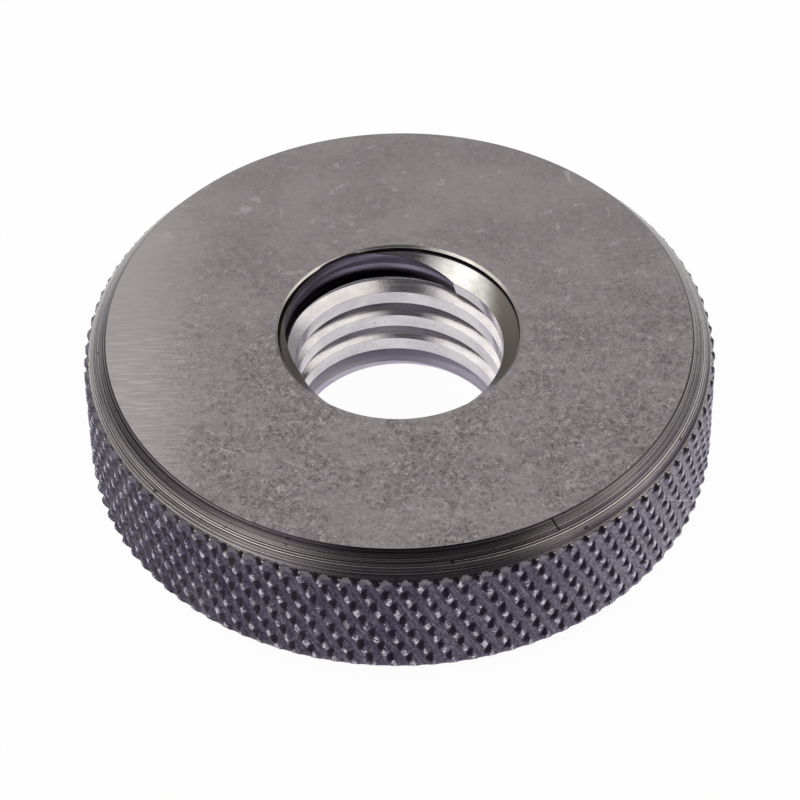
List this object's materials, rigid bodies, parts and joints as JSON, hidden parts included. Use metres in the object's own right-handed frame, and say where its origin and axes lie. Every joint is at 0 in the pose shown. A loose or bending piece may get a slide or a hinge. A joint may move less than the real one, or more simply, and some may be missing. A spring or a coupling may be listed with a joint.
{
  "type": "thread ring gauge",
  "caption": "Flat steel ring gauge with a truncated internal metric thread, countersunk bore mouths, turned outer chamfers and a diamond-knurled rim.",
  "frame": {"origin": "centre of the base face, on the bore's axis", "axes": "+Z along the bore's axis from the base face to the upper face, -Y towards the viewer of the reference view"},
  "size_m": [0.038, 0.038, 0.01],
  "materials": {
    "gauge_steel": "ground faces with light grey patina, dark knurl, bright thread"
  },
  "bodies": {
    "root": {"gauge_ring": "gauge_steel"}
  },
  "joints": []
}
